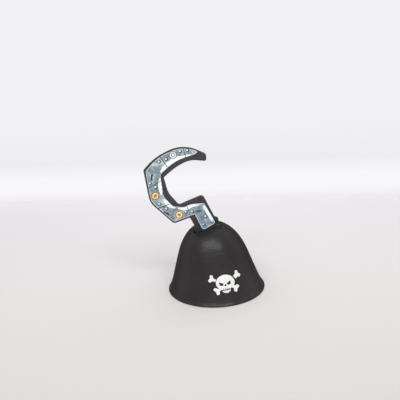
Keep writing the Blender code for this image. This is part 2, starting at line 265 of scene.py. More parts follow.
# Studio, places in metres from the rim's middle: foot of the wall, softbox and sky
FLOOR_LEFT = Vector((-0.436, 0.457))
FLOOR_RIGHT = Vector((0.353, 0.373))
STAGE_REACH = 3.0
SOFTBOX_FRONT = -0.73
SOFTBOX_HEIGHT = 0.91
SOFTBOX_AIM = 0.07
SOFTBOX_SIZE = (1.25, 0.26)
SOFTBOX_POWER = 9.8
SKY_STRENGTH = 0.63

# Camera: lens in millimetres, place in metres from the rim's middle, and its own three directions
SENSOR_WIDTH = 36.0
LENS = 50.9
CAMERA_FRONT = -0.65566
CAMERA_HEIGHT = 0.30088
CAMERA_RIGHT = Vector((0.99855348, 0.00766933, -0.05321768))
CAMERA_UP = Vector((0.04905969, 0.27506071, 0.96017434))
CAMERA_FORWARD = Vector((-0.02200199, 0.96139627, -0.27428657))

# Making the meshes: step round a corner, and distances in millimetres that count as one point
FINE_ARC = radians(6.0)
SAME_POINT = 0.004
CUT_SNAP = 0.005

# Limits for moving an outline inwards (cosine of half a turn) and for finding where a ray meets it
SHARPEST_TURN = 0.5
PARALLEL = 1e-9
EDGE_SLACK = 1e-6

# Following the crown's curve: share to either side for its slope, and halvings to find a height
CURVE_STEP = 0.002
HALVINGS = 40

joint = frame["joints"][0]
pivot = Vector(joint["pos_m"])
hinge_axis = Vector(joint["axis"]).normalized()
plate_rise = Vector((1.0, 0.0, 0.0)).cross(hinge_axis)
hook_across = Vector((cos(LEAN_LEFT), 0.0, 0.0)) + plate_rise * sin(LEAN_LEFT)
hook_up = Vector((-sin(LEAN_LEFT), 0.0, 0.0)) + plate_rise * cos(LEAN_LEFT)
cup_low, cup_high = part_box("cup_shell")
rim_x = (cup_low[0] + cup_high[0]) / 2


def colour(red, green, blue):
    """Linear colour from display values of 0 to 255."""
    levels = []
    for value in (red, green, blue):
        share = value / 255
        levels.append(share / 12.92 if share <= 0.04045 else ((share + 0.055) / 1.055) ** 2.4)
    return (*levels, 1.0)


def on_hook(across, up, front):
    return pivot + (hook_across * across + hook_up * up - hinge_axis * front) * MM


def across_grip(x, y, front):
    return on_hook(x, y - EYE_DEPTH, front)


def cup_radius(height):
    rim_flare = RIM_RADIUS - CONE_RADIUS_AT_FLOOR + CONE_TAPER * RIM_ROUNDING
    flare = rim_flare * exp((RIM_ROUNDING - height) / FLARE_HEIGHT)
    return CONE_RADIUS_AT_FLOOR - CONE_TAPER * height + flare


def lean_cup(x, y, height):
    return Vector((rim_x + (x - CUP_LEAN * height) * MM, y * MM, height * MM))


def on_cup(across, up, off):
    """Place on the cup's side, in millimetres across and up from the skull's middle."""
    turned_across = across * cos(EMBLEM_TILT) - up * sin(EMBLEM_TILT)
    turned_up = across * sin(EMBLEM_TILT) + up * cos(EMBLEM_TILT)
    slope = atan(CONE_TAPER)
    height = EMBLEM_HEIGHT + turned_up * cos(slope)
    angle = EMBLEM_ANGLE + turned_across / cup_radius(EMBLEM_HEIGHT)
    radius = cup_radius(height) + off * cos(slope)
    return lean_cup(radius * sin(angle), -radius * cos(angle), height + off * sin(slope))


def crown_point(share):
    """Point (radius, height) of the crown's curve, from the shoulder (0) to the top (1)."""
    shoulder = Vector((cup_radius(SHOULDER_HEIGHT), SHOULDER_HEIGHT))
    above = shoulder + Vector((-CONE_TAPER, 1.0)) * SHOULDER_REACH
    beside = Vector((CROWN_REACH, CUP_HEIGHT))
    top = Vector((0.0, CUP_HEIGHT))
    rest = 1.0 - share
    return rest**3 * shoulder + 3 * rest**2 * share * above + 3 * rest * share**2 * beside + share**3 * top


def lined_point(share):
    """The same point on the lining, one wall inside the crown."""
    along = crown_point(min(share + CURVE_STEP, 1.0)) - crown_point(max(share - CURVE_STEP, 0.0))
    inward = Vector((-along.y, along.x)).normalized()
    return crown_point(share) + inward * CUP_WALL


def crown_height(radius, curve):
    """Height of the crown or its lining at a distance from the cup's axis."""
    low, high = 0.0, 1.0
    for _ in range(HALVINGS):
        middle = (low + high) / 2
        if curve(middle).x > radius:
            low = middle
        else:
            high = middle
    return curve(low).y


# Outlines

def rounded_outline(corners):
    """Closed outline through (x, y, radius) corners, each rounded by an arc of its radius."""
    points = []
    count = len(corners)
    for index in range(count):
        corner = Vector(corners[index][:2])
        radius = corners[index][2]
        to_last = (Vector(corners[index - 1][:2]) - corner).normalized()
        to_next = (Vector(corners[(index + 1) % count][:2]) - corner).normalized()
        half_angle = to_last.angle(to_next) / 2
        centre = corner + (to_last + to_next).normalized() * (radius / sin(half_angle))
        start = corner + to_last * (radius / tan(half_angle)) - centre
        turn = pi - 2 * half_angle
        side = 1.0 if to_last.cross(to_next) < 0 else -1.0
        steps = max(2, ceil(turn / FINE_ARC))
        first_angle = atan2(start.y, start.x)
        for step in range(steps + 1):
            angle = first_angle + side * turn * step / steps
            points.append(centre + Vector((cos(angle), sin(angle))) * radius)
    return points


def circle(centre, radius, segments=36):
    angles = [2 * pi * step / segments for step in range(segments)]
    return [Vector((centre[0] + radius * cos(a), centre[1] + radius * sin(a))) for a in angles]


def bar(start, end, half_width):
    """Outline of a straight bar with round ends."""
    along = (Vector(end) - Vector(start)).normalized()
    aside = Vector((-along.y, along.x))
    outline = []
    for centre, direction in ((Vector(end), along), (Vector(start), -along)):
        side = aside if direction == -along else -aside
        for step in range(BAR_END_STEPS + 1):
            angle = pi * step / BAR_END_STEPS
            outline.append(centre + (side * cos(angle) + direction * sin(angle)) * half_width)
    return outline


def smooth_place(before, start, end, after, share):
    """Place on the smooth curve from start to end that heads on through their neighbours."""
    slope = (end - before) * share
    bend = (2 * before - 5 * start + 4 * end - after) * share**2
    twist = (3 * start - before - 3 * end + after) * share**3
    return start + 0.5 * (slope + bend + twist)


def ribbon(stations):
    """Outline of a ribbon through (x, y, half width) stations, its left edge wavy as if brushed."""
    last = len(stations) - 1
    spine = []
    for index in range(last):
        nearby = [Vector(stations[min(max(index + shift, 0), last)]) for shift in (-1, 0, 1, 2)]
        spine += [smooth_place(*nearby, step / RIBBON_STEPS) for step in range(RIBBON_STEPS)]
    spine.append(Vector(stations[last]))
    left, right = [], []
    for index, place in enumerate(spine):
        ahead = spine[min(index + 1, len(spine) - 1)] - spine[max(index - 1, 0)]
        along = ahead.to_2d().normalized()
        aside = Vector((-along.y, along.x)) * place.z
        brushed = 1.0 + BRUSH_WAVE * sin(BRUSH_STEP * index)
        left.append(place.to_2d() + aside * brushed)
        right.append(place.to_2d() - aside)
    return right + left[::-1]


def hook_outline():
    """The plate, from the tang's right side up the stem, round the throat to the tip and over the top."""
    stem = STEM_HALF_WIDTH
    tang = TANG_HALF_WIDTH
    tang_end = -EYE_DEPTH - tang
    return rounded_outline([
        (tang, tang_end, TANG_END_ROUNDING),
        (tang, TANG_FLARE_END, 3.0),
        (TANG_FLARE, TANG_FLARE_LOW, 1.2),
        (TANG_FLARE, TANG_FLARE_TOP, 1.1),
        (tang, TANG_FLARE_NECK, 0.6),
        (tang, BARB_LOW, 1.0),
        (BARB_REACH, BARB_LOW, 0.9),
        (BARB_REACH, BARB_HIGH, 1.0),
        (stem, BARB_ROOT, 1.0),
        (stem, ARM_TOP, 4.5),
        (THROAT_FOOT, ARM_TOP + ARM_RISE, 3.5),
        (THROAT_LEFT, THROAT_MIDDLE, 20.0),
        (*THROAT_HEAD, 3.0),
        (THROAT_CREST, THROAT_TOP, 60.0),
        (THROAT_RIGHT, THROAT_TOP, 28.0),
        (*TIP_POINT, 2.5),
        (*TIP_NOSE, 5.0),
        (*TOP_RIGHT, 40.0),
        (*TOP_CREST, 70.0),
        (*TOP_LEFT, 4.0),
        (BACK_LEFT, BACK_HEIGHT, 21.0),
        (BACK_FOOT, ARM_UNDERSIDE + ARM_RISE, 5.0),
        (-stem, ARM_UNDERSIDE, 1.5),
        (-stem, LEFT_BARB_ROOT, 1.0),
        (-BARB_REACH, LEFT_BARB_HIGH, 1.0),
        (-BARB_REACH, LEFT_BARB_LOW, 1.5),
        (-tang, TANG_FLARE_END, 3.0),
        (-tang, tang_end, TANG_END_ROUNDING),
    ])


def film_outline():
    """The film on the plate's face, in the same order as the plate."""
    margin = FILM_OUTER_MARGIN
    return rounded_outline([
        *FILM_THROAT_EDGE,
        (TOP_RIGHT[0] - FILM_RIGHT_MARGIN, TOP_RIGHT[1] - margin, 38.0),
        (*FILM_CREST, 55.0),
        (*FILM_TOP_LEFT, 3.0),
        (BACK_LEFT + margin, BACK_HEIGHT, 20.0),
        (BACK_FOOT + FILM_BACK_MARGIN, ARM_UNDERSIDE + ARM_RISE + margin, 4.0),
        (FILM_ELBOW, ARM_UNDERSIDE + FILM_ARM_MARGIN, 1.0),
        (*FILM_FOOT_LEFT, 3.0),
    ])


def slot_outline():
    """The slot from above: close behind the plate, with a front lip that bows open."""
    return rounded_outline([
        (SLOT_HALF_LENGTH, SLOT_END_FRONT, SLOT_FRONT_CORNER),
        (SLOT_HALF_LENGTH, SLOT_BACK, SLOT_CORNER),
        (-SLOT_HALF_LENGTH, SLOT_BACK, SLOT_CORNER),
        (-SLOT_HALF_LENGTH, SLOT_END_FRONT, SLOT_FRONT_CORNER),
        (0.0, SLOT_BOW_FRONT, SLOT_BOW_RADIUS),
    ])


def inset_outline(outline, distance):
    """Outline moved inwards by a distance; the outline runs counter-clockwise."""
    moved = []
    count = len(outline)
    for index in range(count):
        before = (outline[index] - outline[index - 1]).normalized()
        after = (outline[(index + 1) % count] - outline[index]).normalized()
        along = (before + after).normalized()
        inward = Vector((-along.y, along.x))
        moved.append(outline[index] + inward * (distance / max(SHARPEST_TURN, along.dot(before))))
    return moved


def without_doubles(outline):
    pairs = zip(outline[-1:] + outline, outline)
    return [point for last, point in pairs if (point - last).length > SAME_POINT]


# Meshes

def add_piece(name, bm, material, body, slot, *nodes):
    """Turns a mesh into a named piece that rides a body and stands for the given solids."""
    bmesh.ops.recalc_face_normals(bm, faces=bm.faces[:])
    mesh = bpy.data.meshes.new(name)
    bm.to_mesh(mesh)
    bm.free()
    mesh.materials.append(material)
    mesh.shade_smooth()
    piece = bpy.data.objects.new(name, mesh)
    bpy.context.scene.collection.objects.link(piece)
    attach(piece, body)
    if nodes:
        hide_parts(*nodes)
    return piece


def weigh_normals(piece):
    """Keeps flat faces flat beside their rounded edges."""
    weigh = piece.modifiers.new("face_weight", "WEIGHTED_NORMAL")
    weigh.weight = 100
    weigh.keep_sharp = True


def bridge(bm, lower, upper):
    count = len(lower)
    for index in range(count):
        following = (index + 1) % count
        bm.faces.new((lower[index], lower[following], upper[following], upper[index]))


def rounded_plate(bm, outline, back, front, rounding, place, steps=4):
    """Closed plate between two heights, its outer edges rounded."""
    outline = without_doubles(outline)
    layers = []
    for step in range(steps + 1):
        angle = pi / 2 * step / steps
        layers.append((rounding * (1 - sin(angle)), back + rounding * (1 - cos(angle))))
    for step in range(steps + 1):
        angle = pi / 2 * (1 - step / steps)
        layers.append((rounding * (1 - sin(angle)), front - rounding * (1 - cos(angle))))
    rings = []
    for inset, height in layers:
        ring = inset_outline(outline, inset)
        rings.append([bm.verts.new(place(point.x, point.y, height)) for point in ring])
    for lower, upper in zip(rings, rings[1:]):
        bridge(bm, lower, upper)
    bm.faces.new(list(reversed(rings[0])))
    bm.faces.new(rings[-1])


def thin_solid(bm, loops, low, high, place, grid=None):
    """Flat sheet with the loops as its edges, cut by a grid if it has to bend, and thickened."""
    sheet = bmesh.new()
    for loop in loops:
        ring = [sheet.verts.new((point[0], point[1], 0.0)) for point in loop]
        for index, vert in enumerate(ring):
            sheet.edges.new((ring[index - 1], vert))
    bmesh.ops.triangle_fill(sheet, edges=sheet.edges[:], use_beauty=True)
    if grid:
        reach = max(max(abs(v.co.x), abs(v.co.y)) for v in sheet.verts)
        lines = ceil(reach / grid)
        for normal in (Vector((1, 0, 0)), Vector((0, 1, 0))):
            for line in range(-lines, lines + 1):
                geometry = sheet.verts[:] + sheet.edges[:] + sheet.faces[:]
                bmesh.ops.bisect_plane(sheet, geom=geometry, dist=CUT_SNAP,
                                       plane_co=normal * line * grid, plane_no=normal)
    top = bmesh.ops.extrude_face_region(sheet, geom=sheet.faces[:], use_keep_orig=True)
    raised = {item for item in top["geom"] if isinstance(item, bmesh.types.BMVert)}
    for vert in sheet.verts:
        vert.co = place(vert.co.x, vert.co.y, high if vert in raised else low)
    bmesh.ops.recalc_face_normals(sheet, faces=sheet.faces[:])
    mesh = bpy.data.meshes.new("sheet")
    sheet.to_mesh(mesh)
    sheet.free()
    bm.from_mesh(mesh)
    bpy.data.meshes.remove(mesh)


def turned(bm, profile, segments, place):
    """Closed body of revolution from a profile whose ends lie on the axis."""
    rings = []
    for radius, height in profile[1:-1]:
        angles = [2 * pi * step / segments for step in range(segments)]
        rings.append([bm.verts.new(place(radius * cos(a), radius * sin(a), height)) for a in angles])
    for lower, upper in zip(rings, rings[1:]):
        bridge(bm, lower, upper)
    for ring, height in ((rings[0], profile[0][1]), (rings[-1], profile[-1][1])):
        pole = bm.verts.new(place(0.0, 0.0, height))
        for index in range(segments):
            bm.faces.new((ring[index - 1], ring[index], pole))


# Materials

class Shader:
    """A material with its Principled shader and short ways to add and join nodes."""

    def __init__(self, name):
        self.material = bpy.data.materials.new(name)
        self.material.use_nodes = True
        self.tree = self.material.node_tree
        self.principled = self.tree.nodes["Principled BSDF"]
        coordinates = self.tree.nodes.new("ShaderNodeTexCoord")
        self.place = coordinates.outputs["Object"]

    def set(self, **values):
        for name, value in values.items():
            self.principled.inputs[name.replace("_", " ")].default_value = value

    def feed(self, name, socket):
        self.tree.links.new(socket, self.principled.inputs[name])

    def give(self, target, value):
        if isinstance(value, bpy.types.NodeSocket):
            self.tree.links.new(value, target)
        else:
            target.default_value = value

    def node(self, kind, **inputs):
        node = self.tree.nodes.new(kind)
        for name, value in inputs.items():
            self.give(node.inputs[name], value)
        return node

    def noise(self, scale, detail, roughness=0.5, vector=None):
        node = self.node("ShaderNodeTexNoise", Vector=vector or self.place, Scale=scale, Detail=detail,
                         Roughness=roughness)
        return node.outputs["Fac"]

    def stretched(self, scale, turn=0.0):
        mapping = self.node("ShaderNodeMapping", Vector=self.place, Rotation=(0.0, turn, 0.0), Scale=scale)
        return mapping.outputs["Vector"]

    def ramp(self, factor, *stops):
        node = self.node("ShaderNodeValToRGB", Fac=factor)
        elements = node.color_ramp.elements
        while len(elements) < len(stops):
            elements.new(0.5)
        for element, (position, shade) in zip(elements, stops):
            element.position = position
            element.color = shade
        return node.outputs["Color"]

    def range(self, value, low, high, to_low, to_high):
        node = self.node("ShaderNodeMapRange", Value=value)
        for index, limit in enumerate((low, high, to_low, to_high)):
            node.inputs[index + 1].default_value = limit
        return node.outputs["Result"]

    def mix(self, factor, first, second):
        node = self.tree.nodes.new("ShaderNodeMix")
        node.data_type = "RGBA"
        self.give(node.inputs[0], factor)
        self.give(node.inputs[6], first)
        self.give(node.inputs[7], second)
        return node.outputs[2]

    def math(self, operation, first, second):
        node = self.tree.nodes.new("ShaderNodeMath")
        node.operation = operation
        self.give(node.inputs[0], first)
        self.give(node.inputs[1], second)
        return node.outputs[0]

    def bump(self, height, distance, strength, normal=None):
        node = self.node("ShaderNodeBump", Height=height, Distance=distance, Strength=strength)
        if normal:
            self.tree.links.new(normal, node.inputs["Normal"])
        return node.outputs["Normal"]

    def axis(self, name):
        split = self.node("ShaderNodeSeparateXYZ", Vector=self.place)
        return split.outputs[name]

    def distance_along(self, direction, start):
        """Distance in metres from a starting point along a direction."""
        node = self.tree.nodes.new("ShaderNodeVectorMath")
        node.operation = "DOT_PRODUCT"
        self.give(node.inputs[0], self.place)
        self.give(node.inputs[1], direction)
        return self.math("SUBTRACT", node.outputs["Value"], start.dot(direction))

    def distance_from(self, point):
        node = self.tree.nodes.new("ShaderNodeVectorMath")
        node.operation = "DISTANCE"
        self.give(node.inputs[0], self.place)
        self.give(node.inputs[1], point)
        return node.outputs["Value"]


def cup_foam():
    """Satin skin of moulded foam, with mottling, level flow lines, small pits and dust specks.

    The rim is scuffed, and painted shade darkens the foam before the slot.
    """
    shader = Shader("cup_foam")
    tone = shader.noise(26.0, 4.0, 0.55)
    base = shader.ramp(tone, (0.3, colour(37, 35, 36)), (0.7, colour(46, 44, 45)))
    specks = shader.noise(900.0, 1.0)
    base = shader.mix(shader.range(specks, 0.68, 0.76, 0.0, 0.3), base, colour(84, 82, 82))
    scuff_band = shader.range(shader.axis("Z"), 0.0005, 0.006, 1.0, 0.0)
    scuffs = shader.range(shader.noise(240.0, 5.0, 0.65), 0.5, 0.68, 0.0, 0.45)
    base = shader.mix(shader.math("MULTIPLY", scuff_band, scuffs), base, colour(92, 90, 89))
    # Painted shade: the crown before the slot is darkened, as if in the hook's shadow.
    from_slot = shader.distance_from(pivot + PAINTED_SHADE_MIDDLE)
    painted_shade = shader.range(from_slot, CUP_SHADE_FULL, CUP_SHADE_END, 0.75, 0.0)
    base = shader.mix(painted_shade, base, colour(*PAINTED_SHADE_TONE))
    shader.feed("Base Color", base)
    skin = shader.range(shader.noise(60.0, 4.0), 0.3, 0.7, 0.28, 0.34)
    facing = shader.node("ShaderNodeLayerWeight").outputs["Facing"]
    turned_away = shader.range(facing, 0.2, 0.6, 0.0, 0.7)
    shader.feed("Roughness", shader.math("ADD", skin, turned_away))
    flow = shader.noise(1.0, 3.0, 0.6, shader.stretched((70.0, 70.0, 320.0)))
    flow_lines = shader.bump(flow, 0.0004, 0.8)
    pits = shader.range(shader.noise(330.0, 1.0), 0.70, 0.76, 0.0, -1.0)
    pitted = shader.bump(pits, 0.0003, 0.6, flow_lines)
    grain = shader.bump(shader.noise(1700.0, 2.0, 0.6), 0.00004, 0.6, pitted)
    shader.feed("Normal", grain)
    shader.set(Specular_IOR_Level=0.2)
    return shader.material


def hook_foam():
    """Matt cut foam with close cells, darkened by painted shade where the stem sits in its slot."""
    shader = Shader("hook_foam")
    tone = shader.noise(70.0, 4.0, 0.6)
    base = shader.ramp(tone, (0.3, colour(44, 41, 44)), (0.7, colour(58, 54, 57)))
    # Painted shade: the stem darkens towards the crown, as if shaded at the slot.
    above_pivot = shader.distance_along(hook_up, pivot)
    painted_shade = shader.range(above_pivot, STEM_SHADE_FULL, STEM_SHADE_END, 0.8, 0.0)
    base = shader.mix(painted_shade, base, colour(*PAINTED_SHADE_TONE))
    cells = shader.node("ShaderNodeTexVoronoi", Vector=shader.place, Scale=1150.0)
    pits = shader.range(cells.outputs["Distance"], 0.0, 0.5, 0.0, 1.0)
    # Painted shade: the cells' pits are darker.
    base = shader.mix(shader.range(pits, 0.0, 0.3, 0.25, 0.0), base, colour(28, 26, 28))
    shader.feed("Base Color", base)
    shader.feed("Roughness", shader.range(tone, 0.3, 0.7, 0.58, 0.72))
    shader.feed("Normal", shader.bump(pits, 0.00006, 0.7))
    shader.set(Specular_IOR_Level=0.42)
    return shader.material


def steel_print():
    """Painted steel: broad blue, teal and grey patches, brushed streaks and darker worn spots."""
    shader = Shader("steel_print")
    clouds = shader.noise(120.0, 2.0, 0.5)
    base = shader.ramp(clouds, (0.38, colour(93, 117, 132)), (0.42, colour(113, 135, 147)),
                       (0.50, colour(129, 146, 154)), (0.55, colour(156, 163, 166)),
                       (0.63, colour(186, 192, 194)))
    teal = shader.range(shader.noise(150.0, 2.0), 0.54, 0.58, 0.0, 0.7)
    base = shader.mix(teal, base, colour(113, 141, 140))
    patches = shader.noise(170.0, 2.0, 0.5, shader.stretched((1.0, 1.0, 1.6)))
    mauve = shader.range(patches, 0.58, 0.62, 0.0, 0.6)
    base = shader.mix(mauve, base, colour(150, 147, 162))
    streaks = shader.noise(1.0, 3.0, 0.6, shader.stretched((900.0, 900.0, 90.0), LEAN_LEFT))
    base = shader.mix(shader.range(streaks, 0.52, 0.7, 0.0, 0.35), base, colour(200, 207, 209))
    wear = shader.range(shader.noise(420.0, 4.0, 0.7), 0.62, 0.70, 0.0, 0.45)
    base = shader.mix(wear, base, colour(74, 88, 98))
    shader.feed("Base Color", base)
    shader.feed("Roughness", shader.range(clouds, 0.3, 0.7, 0.36, 0.48))
    shader.feed("Normal", shader.bump(shader.noise(600.0, 2.0), 0.00003, 0.4))
    return shader.material


def mottled(name, dark, light, roughness, scale=500.0):
    """Ink, foam or plastic with a fine mottled tone and a faintly uneven surface."""
    shader = Shader(name)
    tone = shader.noise(scale, 3.0, 0.55)
    shader.feed("Base Color", shader.ramp(tone, (0.32, dark), (0.68, light)))
    shader.feed("Roughness", shader.range(tone, 0.3, 0.7, roughness - 0.05, roughness + 0.05))
    shader.feed("Normal", shader.bump(shader.noise(1500.0, 2.0), 0.00002, 0.4))
    return shader.material


def dowel_wood():
    shader = Shader("dowel_wood")
    grain = shader.noise(1.0, 4.0, 0.6, shader.stretched((900.0, 60.0, 900.0)))
    shader.feed("Base Color", shader.ramp(grain, (0.3, colour(158, 118, 72)), (0.7, colour(206, 170, 122))))
    shader.feed("Roughness", shader.range(grain, 0.3, 0.7, 0.5, 0.66))
    shader.feed("Normal", shader.bump(grain, 0.0001, 0.5))
    return shader.material


# Pieces

def slot_reach(offset):
    """Distances from the slot's middle to its edge, moved outwards by an offset, round the compass."""
    outline = inset_outline(without_doubles(slot_outline()), -offset)
    middle = Vector((0.0, SLOT_MIDDLE))
    reach = []
    for index in range(CUP_SEGMENTS):
        angle = 2 * pi * index / CUP_SEGMENTS
        outward = Vector((cos(angle), sin(angle)))
        for last, point in zip(outline[-1:] + outline, outline):
            edge = point - last
            across = outward.cross(edge)
            if abs(across) < PARALLEL:
                continue
            distance = (last - middle).cross(edge) / across
            share = (last - middle).cross(outward) / across
            if distance > 0 and -EDGE_SLACK <= share <= 1 + EDGE_SLACK:
                reach.append(distance)
                break
    return reach


def make_cup():
    slot_x = (pivot.x - rim_x) / MM + CUP_LEAN * pivot.z / MM
    slot_y = pivot.y / MM + SLOT_MIDDLE
    angles = [2 * pi * index / CUP_SEGMENTS for index in range(CUP_SEGMENTS)]
    bm = bmesh.new()
    rings = []

    def round_ring(radius, height):
        rings.append([bm.verts.new(lean_cup(radius * cos(a), radius * sin(a), height)) for a in angles])

    def crown_ring(share, edge, drop, curve):
        """Ring between the shoulder (share 0) and the slot's lip (share 1), lowered by drop."""
        shoulder = curve(0.0).x
        ring = []
        for angle, reach in zip(angles, edge):
            x = (1 - share) * shoulder * cos(angle) + share * (slot_x + reach * cos(angle))
            y = (1 - share) * shoulder * sin(angle) + share * (slot_y + reach * sin(angle))
            height = crown_height(min(hypot(x, y), shoulder), curve)
            ring.append(bm.verts.new(lean_cup(x, y, height - drop)))
        rings.append(ring)

    level_wall = CUP_WALL / cos(atan(CONE_TAPER))
    rim_outer = cup_radius(RIM_ROUNDING) - RIM_ROUNDING
    rim_inner = cup_radius(RIM_ROUNDING) - level_wall + RIM_ROUNDING
    heights = [RIM_ROUNDING + (SHOULDER_HEIGHT - RIM_ROUNDING) * (step / CONE_STEPS)**CONE_BUNCHING
               for step in range(CONE_STEPS)]
    lip_angles = [pi / 2 * step / ROUND_STEPS for step in range(1, ROUND_STEPS + 1)]
    lip_edge = slot_reach(SLOT_LIP)

    for step in range(ROUND_STEPS):
        angle = pi / 2 * step / ROUND_STEPS
        round_ring(rim_outer + RIM_ROUNDING * sin(angle), RIM_ROUNDING * (1 - cos(angle)))
    for height in heights:
        round_ring(cup_radius(height), height)
    for step in range(CROWN_STEPS + 1):
        crown_ring(step / CROWN_STEPS, lip_edge, 0.0, crown_point)
    for angle in lip_angles:
        crown_ring(1.0, slot_reach(SLOT_LIP * (1 - sin(angle))), SLOT_LIP * (1 - cos(angle)), crown_point)
    for angle in reversed(lip_angles):
        crown_ring(1.0, slot_reach(SLOT_LIP * (1 - sin(angle))), -SLOT_LIP * (1 - cos(angle)), lined_point)
    for step in range(CROWN_STEPS, -1, -2):
        crown_ring(step / CROWN_STEPS, lip_edge, 0.0, lined_point)
    for height in heights[::-2]:
        round_ring(cup_radius(height) - level_wall, height)
    for step in range(1, ROUND_STEPS + 1):
        angle = pi / 2 * step / ROUND_STEPS
        round_ring(rim_inner - RIM_ROUNDING * cos(angle), RIM_ROUNDING * (1 - sin(angle)))
    for lower, upper in zip(rings, rings[1:]):
        bridge(bm, lower, upper)
    bridge(bm, rings[-1], rings[0])
    cup = add_piece("foam_cup", bm, cup_foam(), "cup", "cup_foam", "cup_shell")


def make_hook():
    bm = bmesh.new()
    half = HOOK_HALF_THICKNESS
    rounded_plate(bm, hook_outline(), -half, half, EDGE_ROUNDING, on_hook)
    foam = add_piece("foam_hook", bm, hook_foam(), "hook", "hook_foam", "hook_core")
    weigh_normals(foam)
    print_material = steel_print()
    inks = {
        "dark": mottled("dark_print", colour(26, 30, 36), colour(42, 48, 55), 0.5),
        "white": mottled("white_print", colour(228, 233, 234), colour(244, 246, 246), 0.4, 260.0),
        "brass": mottled("brass_print", colour(206, 152, 70), colour(230, 186, 104), 0.38, 320.0),
        "cream": mottled("cream_print", colour(244, 218, 156), colour(252, 234, 190), 0.38, 320.0),
        "bronze": mottled("bronze_print", colour(118, 70, 34), colour(146, 92, 48), 0.42, 320.0),
        "silver": mottled("silver_print", colour(190, 198, 201), colour(220, 225, 226), 0.38, 320.0),
    }
    for side, name in ((1.0, "front"), (-1.0, "back")):
        bm = bmesh.new()
        low, high = sorted((side * (half - FILM_SINK), side * FILM_FACE))
        rounded_plate(bm, film_outline(), low, high, FILM_ROUNDING, on_hook, FILM_ROUND_STEPS)
        film = add_piece(name + "_steel_film", bm, print_material, "hook", "printed_film",
                         name + "_face_film")
        weigh_normals(film)
        make_print(name, side, inks)


def make_print(face, side, inks):
    """Riveted-steel print of one face, in layers of ink from the edge line up to the screw slots."""
    def layer(name, ink, level, shapes):
        bm = bmesh.new()
        low, high = sorted((side * (FILM_FACE - INK_SINK), side * (FILM_FACE + INK_LAYER * level)))
        for loops in shapes:
            thin_solid(bm, loops, low, high, on_hook)
        weigh_normals(add_piece(face + "_" + name, bm, inks[ink], "hook", "printed_film"))

    border = inset_outline(without_doubles(film_outline()), FILM_EDGE_GAP)
    heads = [Vector(rivet) + RIVET_SHADE for rivet in RIVETS]
    rivet_shades = [[circle(rivet, RIVET_RADIUS), circle(head, RIVET_HEAD)]
                    for rivet, head in zip(RIVETS, heads)]
    glints = [circle(head + RIVET_SHADE, RIVET_GLINT, GLINT_SEGMENTS) for head in heads]
    nut_edge = circle(NUT, NUT_RADIUS, NUT_SIDES)
    nut_rim = circle(NUT, NUT_FACE, NUT_SIDES)
    nut_bore = circle(NUT, NUT_BORE)
    bolt = circle(NUT, BOLT_RADIUS)
    layer("edge_lines", "silver", 1, [[border, inset_outline(border, FILM_EDGE_LINE)]])
    layer("edge_lights", "white", 2, [[ribbon(stations)] for stations in EDGE_LIGHTS])
    layer("plate_seams", "dark", 3, [[bar(start, end, SEAM_HALF_WIDTH)] for start, end in SEAMS])
    layer("plate_slits", "dark", 2, [[bar(start, end, SLIT_HALF_WIDTH)] for start, end in SLITS])
    layer("rivet_shades", "dark", 3, rivet_shades)
    layer("rivet_heads", "silver", 3, [[circle(head, RIVET_HEAD)] for head in heads])
    layer("rivet_glints", "white", 4, [[glint] for glint in glints])
    layer("nut_edges", "dark", 3, [[nut_edge, nut_rim], [nut_bore, bolt]])
    layer("nut_face", "silver", 3, [[nut_rim, nut_bore]])
    layer("bolt_end", "white", 3, [[bolt]])
    edges, faces, bevels, slots = [], [], [], []
    for centre, angle in SCREWS:
        reach = Vector((cos(angle), sin(angle))) * SCREW_SLOT_HALF_LENGTH
        rim = circle(centre, SCREW_HEAD)
        edges.append([circle(centre, SCREW_RADIUS), rim])
        faces.append([rim])
        bevels.append([circle(centre, SCREW_BEVEL_OUTER), circle(centre, SCREW_BEVEL_INNER)])
        slots.append([bar(Vector(centre) - reach, Vector(centre) + reach, SCREW_SLOT_HALF_WIDTH)])
    layer("screw_edges", "bronze", 3, edges)
    layer("screw_heads", "brass", 3, faces)
    layer("screw_bevels", "cream", 4, bevels)
    layer("screw_slots", "bronze", 5, slots)


def make_grip():
    sleeve_foam = mottled("grip_foam", colour(44, 44, 46), colour(60, 60, 62), 0.7, 220.0)
    cap_plastic = mottled("cap_plastic", colour(30, 30, 31), colour(40, 40, 41), 0.42, 90.0)
    quarter = [pi / 2 * step / QUARTER_STEPS for step in range(QUARTER_STEPS + 1)]

    def grip_piece(name, profile, segments, material, slot, node):
        bm = bmesh.new()
        turned(bm, profile, segments, across_grip)
        return add_piece(name, bm, material, "hook", slot, node)

    rear = -SLEEVE_REAR - ROD_IN_CAP
    front = SLEEVE_FRONT + ROD_IN_CAP
    profile = [(0.0, rear), (ROD_RADIUS, rear), (ROD_RADIUS, front), (0.0, front)]
    grip_piece("wooden_dowel", profile, ROD_SEGMENTS, dowel_wood(), "dowel_wood", "grip_rod")
    for side, name, end in ((1.0, "front", SLEEVE_FRONT), (-1.0, "rear", SLEEVE_REAR)):
        soft = SLEEVE_SOFTNESS
        core = SLEEVE_RADIUS - soft
        profile = [(0.0, SLEEVE_START)]
        profile += [(core + soft * sin(a), SLEEVE_START + soft - soft * cos(a)) for a in quarter]
        profile += [(core + soft * cos(a), end - soft + soft * sin(a)) for a in quarter]
        profile += [(0.0, end)]
        profile = [(radius, side * height) for radius, height in profile]
        sleeve = grip_piece(name + "_foam_sleeve", profile, SLEEVE_SEGMENTS, sleeve_foam, "grip_foam",
                            name + "_grip_sleeve")
        cap_start = end + CAP_GAP
        cap_end = cap_start + CAP_LENGTH
        core = CAP_RADIUS - CAP_DOME
        dome_start = cap_end - CAP_DOME
        profile = [(0.0, cap_start), (CAP_RADIUS - CAP_CHAMFER, cap_start)]
        profile += [(CAP_RADIUS, cap_start + CAP_CHAMFER)]
        profile += [(core + CAP_DOME * cos(a), dome_start + CAP_DOME * sin(a)) for a in quarter]
        profile += [(0.0, cap_end)]
        profile = [(radius, side * height) for radius, height in profile]
        grip_piece(name + "_plastic_cap", profile, SLEEVE_SEGMENTS, cap_plastic, "cap_plastic",
                   name + "_end_cap")


